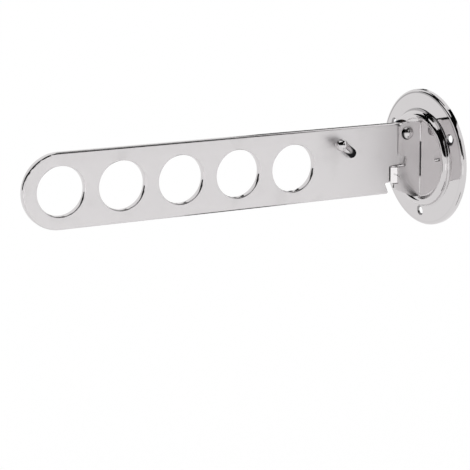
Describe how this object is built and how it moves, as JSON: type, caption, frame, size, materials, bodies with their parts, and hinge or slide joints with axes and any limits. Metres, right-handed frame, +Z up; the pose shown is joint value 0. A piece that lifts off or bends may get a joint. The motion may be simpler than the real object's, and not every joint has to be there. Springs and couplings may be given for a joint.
{
  "type": "wall mounted clothes valet",
  "caption": "Flat chromed arm with round hanger holes on a round wall rosette; it rises slightly, rests on a stop tab and folds up against the wall on a rivet.",
  "frame": {"origin": "centre of the rosette's back, on the wall", "axes": "+Y into the wall, so the arm points along -Y; +Z up; +X towards the side that shows the bracket and the peg"},
  "size_m": [0.0772, 0.2434, 0.0772],
  "materials": {
    "rosette_chrome": "polished chrome plate",
    "bracket_chrome": "polished chrome plate",
    "arm_chrome": "polished chrome plate",
    "rivet_chrome": "polished chrome plate",
    "peg_chrome": "polished chrome plate",
    "zinc_steel": "bright zinc plate",
    "spring_steel": "bare spring steel"
  },
  "bodies": {
    "wall_bracket": {"wall_rosette": "rosette_chrome", "backing_disc": "zinc_steel", "bracket_plate": "bracket_chrome", "pivot_rivet": "rivet_chrome", "spring_washer": "spring_steel", "flat_washer": "zinc_steel"},
    "folding_arm": {"arm_plate": "arm_chrome", "hook_peg": "peg_chrome"}
  },
  "joints": [
    {"name": "arm_fold", "type": "hinge", "parent": "wall_bracket", "child": "folding_arm", "pos_m": [0, -0.014, 0.0157], "axis": [-1, 0, 0], "range_deg": [0, 87.7]}
  ]
}
